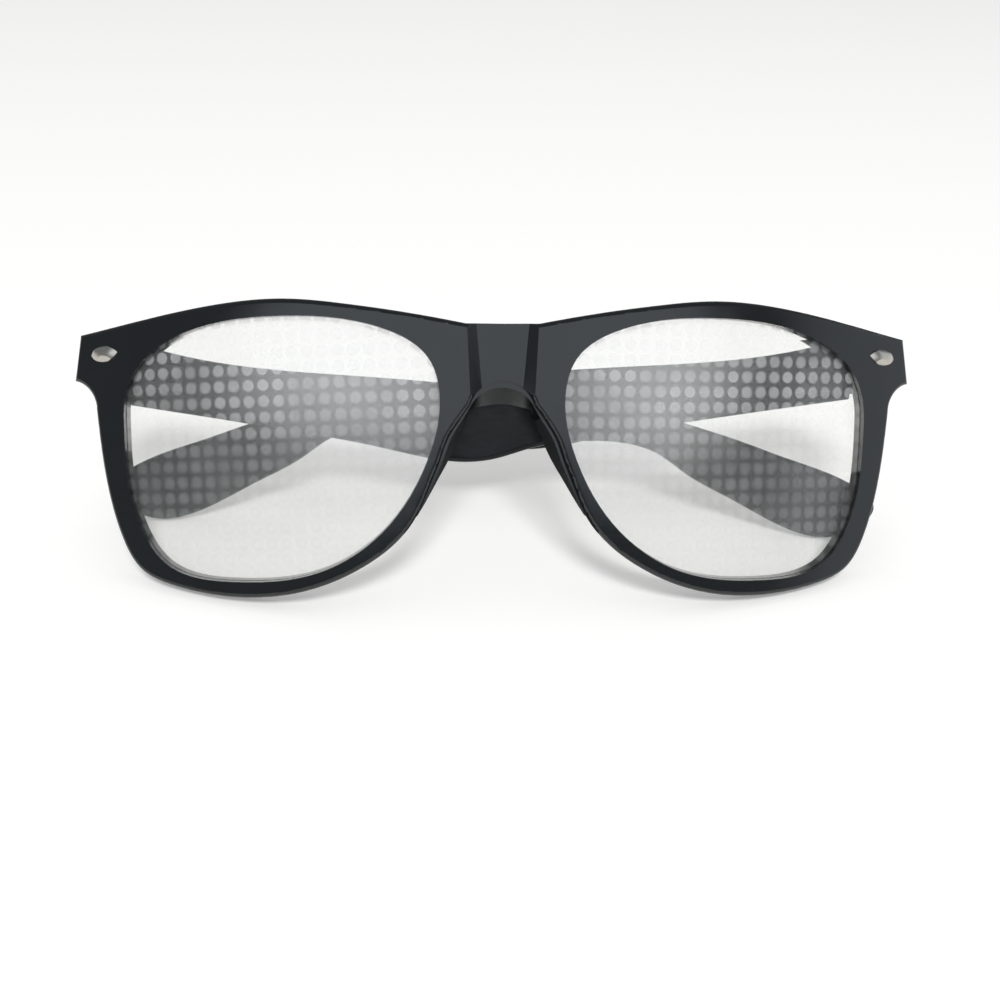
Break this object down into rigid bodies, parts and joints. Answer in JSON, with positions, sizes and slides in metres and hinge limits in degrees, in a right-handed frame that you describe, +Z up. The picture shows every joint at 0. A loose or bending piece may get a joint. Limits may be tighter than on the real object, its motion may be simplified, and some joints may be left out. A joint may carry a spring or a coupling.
{
  "type": "diffraction glasses",
  "caption": "Folded thick-rimmed glasses with a curved one-piece front, clear diffraction film lenses and two side arms on metal hinges, leaning on the rims and arm tips.",
  "frame": {"origin": "middle of the overall box at its base, on the surface that the rims and arm tips stand on", "axes": "+X across the front from the wearer's right side to the left, as seen from the front: left is -X; +Y from the front to the folded arms; +Z up"},
  "size_m": [0.1462, 0.045, 0.0487],
  "materials": {
    "frame_plastic": "polished black",
    "film": "clear film with a fine square dot grid",
    "stud_metal": "polished",
    "hinge_metal": "satin"
  },
  "bodies": {
    "front": {"front_frame": "frame_plastic", "lens_left": "film", "lens_right": "film", "stud_left": "stud_metal", "stud_right": "stud_metal", "hinge_front_leaf_left": "hinge_metal", "hinge_front_leaf_right": "hinge_metal", "hinge_screw_left": "hinge_metal", "hinge_screw_right": "hinge_metal"},
    "arm_left": {"temple_left": "frame_plastic", "hinge_temple_leaf_left": "hinge_metal", "temple_rivets_left": "hinge_metal"},
    "arm_right": {"temple_right": "frame_plastic", "hinge_temple_leaf_right": "hinge_metal", "temple_rivets_right": "hinge_metal"}
  },
  "joints": [
    {"name": "hinge_left", "type": "hinge", "parent": "front", "child": "arm_left", "pos_m": [-0.0665, 0.01486, 0.02916], "axis": [0, 0.3843, 0.9232], "range_deg": [0, 90]},
    {"name": "hinge_right", "type": "hinge", "parent": "front", "child": "arm_right", "pos_m": [0.0665, 0.01486, 0.02916], "axis": [0, -0.3843, -0.9232], "range_deg": [0, 86.9]}
  ]
}
